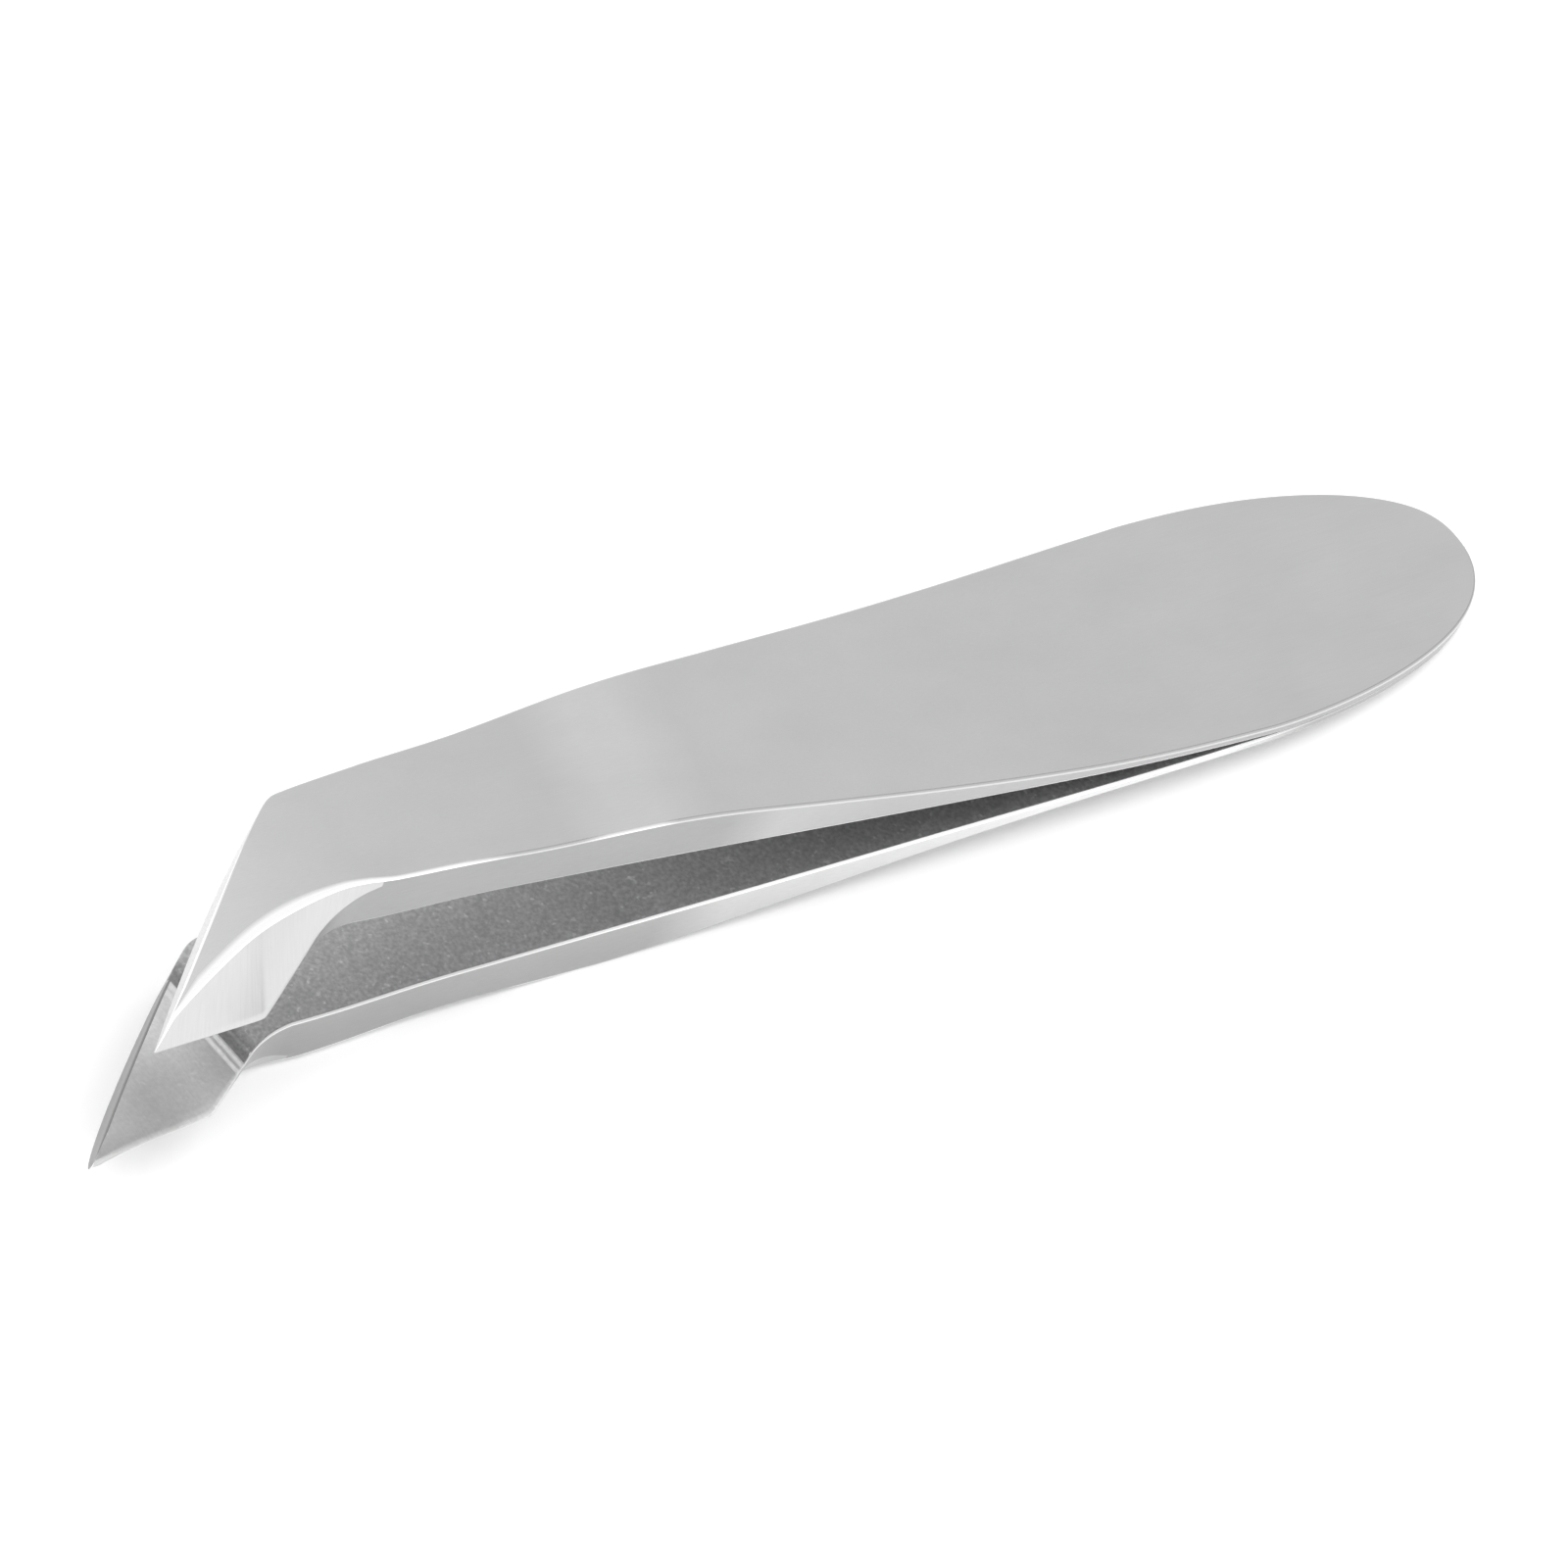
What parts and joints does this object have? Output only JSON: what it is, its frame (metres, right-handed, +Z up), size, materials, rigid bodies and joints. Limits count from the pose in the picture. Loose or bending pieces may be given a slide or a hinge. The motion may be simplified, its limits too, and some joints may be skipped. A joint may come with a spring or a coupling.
{
  "type": "slant tweezers",
  "caption": "Sprung steel beauty tweezers with a slanted, hooked beak on each arm that closes tip to tip when the arms are squeezed.",
  "frame": {"origin": "on the table plane under the middle of the part's box, the part lying on its lower arm", "axes": "+Z up; the beaks point to -X and the rounded heel to +X; the beaks overhang the -Y side"},
  "size_m": [0.095, 0.0142, 0.0156],
  "materials": {
    "satin_steel": "fine satin, with polished edges and a cross-ground beak",
    "weld_metal": "dull fused metal"
  },
  "bodies": {
    "heel": {"upper_heel": "satin_steel", "lower_heel": "satin_steel", "weld_rear": "weld_metal", "weld_front": "weld_metal"},
    "upper_arm": {"upper_blade": "satin_steel"},
    "lower_arm": {"lower_blade": "satin_steel"}
  },
  "joints": [
    {"name": "upper_arm_flex", "type": "hinge", "parent": "heel", "child": "upper_arm", "pos_m": [0.02361, 0, 0.00246], "axis": [0, -1, 0], "range_deg": [0, 3.15], "stiffness_Nm_per_rad": 1.6},
    {"name": "lower_arm_flex", "type": "hinge", "parent": "heel", "child": "lower_arm", "pos_m": [0.02361, 0, 0.00246], "axis": [0, 1, 0], "range_deg": [0, 3.15], "stiffness_Nm_per_rad": 1.6}
  ],
  "couplings": [
    {"joint": "lower_arm_flex", "follows": "upper_arm_flex", "ratio": 1}
  ]
}
